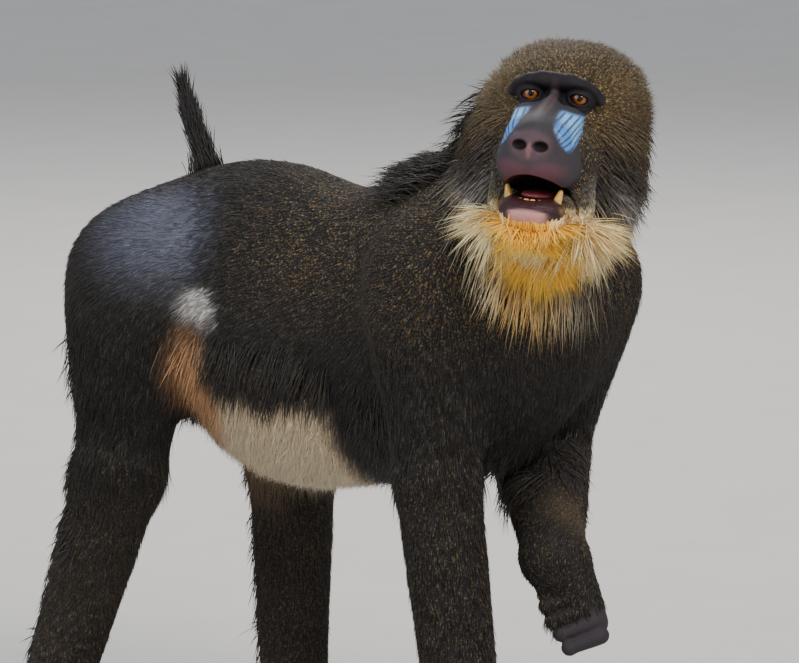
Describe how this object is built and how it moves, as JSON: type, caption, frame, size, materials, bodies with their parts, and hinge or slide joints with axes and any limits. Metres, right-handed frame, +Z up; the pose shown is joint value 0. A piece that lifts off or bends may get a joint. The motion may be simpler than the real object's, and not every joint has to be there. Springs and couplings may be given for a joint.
{
  "type": "mandrill model",
  "caption": "Life-size still model of a standing mandrill with its head turned to its right, one hand raised and its mouth open.",
  "frame": {"origin": "centre of the model's box at floor level, where the feet and the right hand rest", "axes": "+Z up, -Y the way the body faces, +X to the animal's left"},
  "size_m": [0.2898, 0.6814, 0.6615],
  "materials": {
    "brown_coat": "ochre-brown speckled hair",
    "dark_coat": "soft dark hair with fine ochre ticking",
    "ear_skin": "bare skin",
    "face_skin": "bare skin",
    "hand_skin": "bare and thinly haired skin",
    "iris_amber": "wet and glossy",
    "tongue_skin": "wet skin",
    "tooth": "smooth ivory"
  },
  "bodies": {
    "root": {"belly": "dark_coat", "canine_l": "tooth", "canine_r": "tooth", "chest": "dark_coat", "ear_l": "ear_skin", "ear_r": "ear_skin", "eye_l": "iris_amber", "eye_r": "iris_amber", "foot_l": "hand_skin", "foot_r": "hand_skin", "forearm_l": "dark_coat", "forearm_r": "dark_coat", "hand_l": "hand_skin", "hand_r": "hand_skin", "head": "brown_coat", "incisors": "tooth", "jaw": "face_skin", "neck": "dark_coat", "pelvis": "dark_coat", "shank_l": "dark_coat", "shank_r": "dark_coat", "tail": "dark_coat", "thigh_l": "dark_coat", "thigh_r": "dark_coat", "tongue": "tongue_skin", "upper_arm_l": "dark_coat", "upper_arm_r": "dark_coat"}
  },
  "joints": []
}
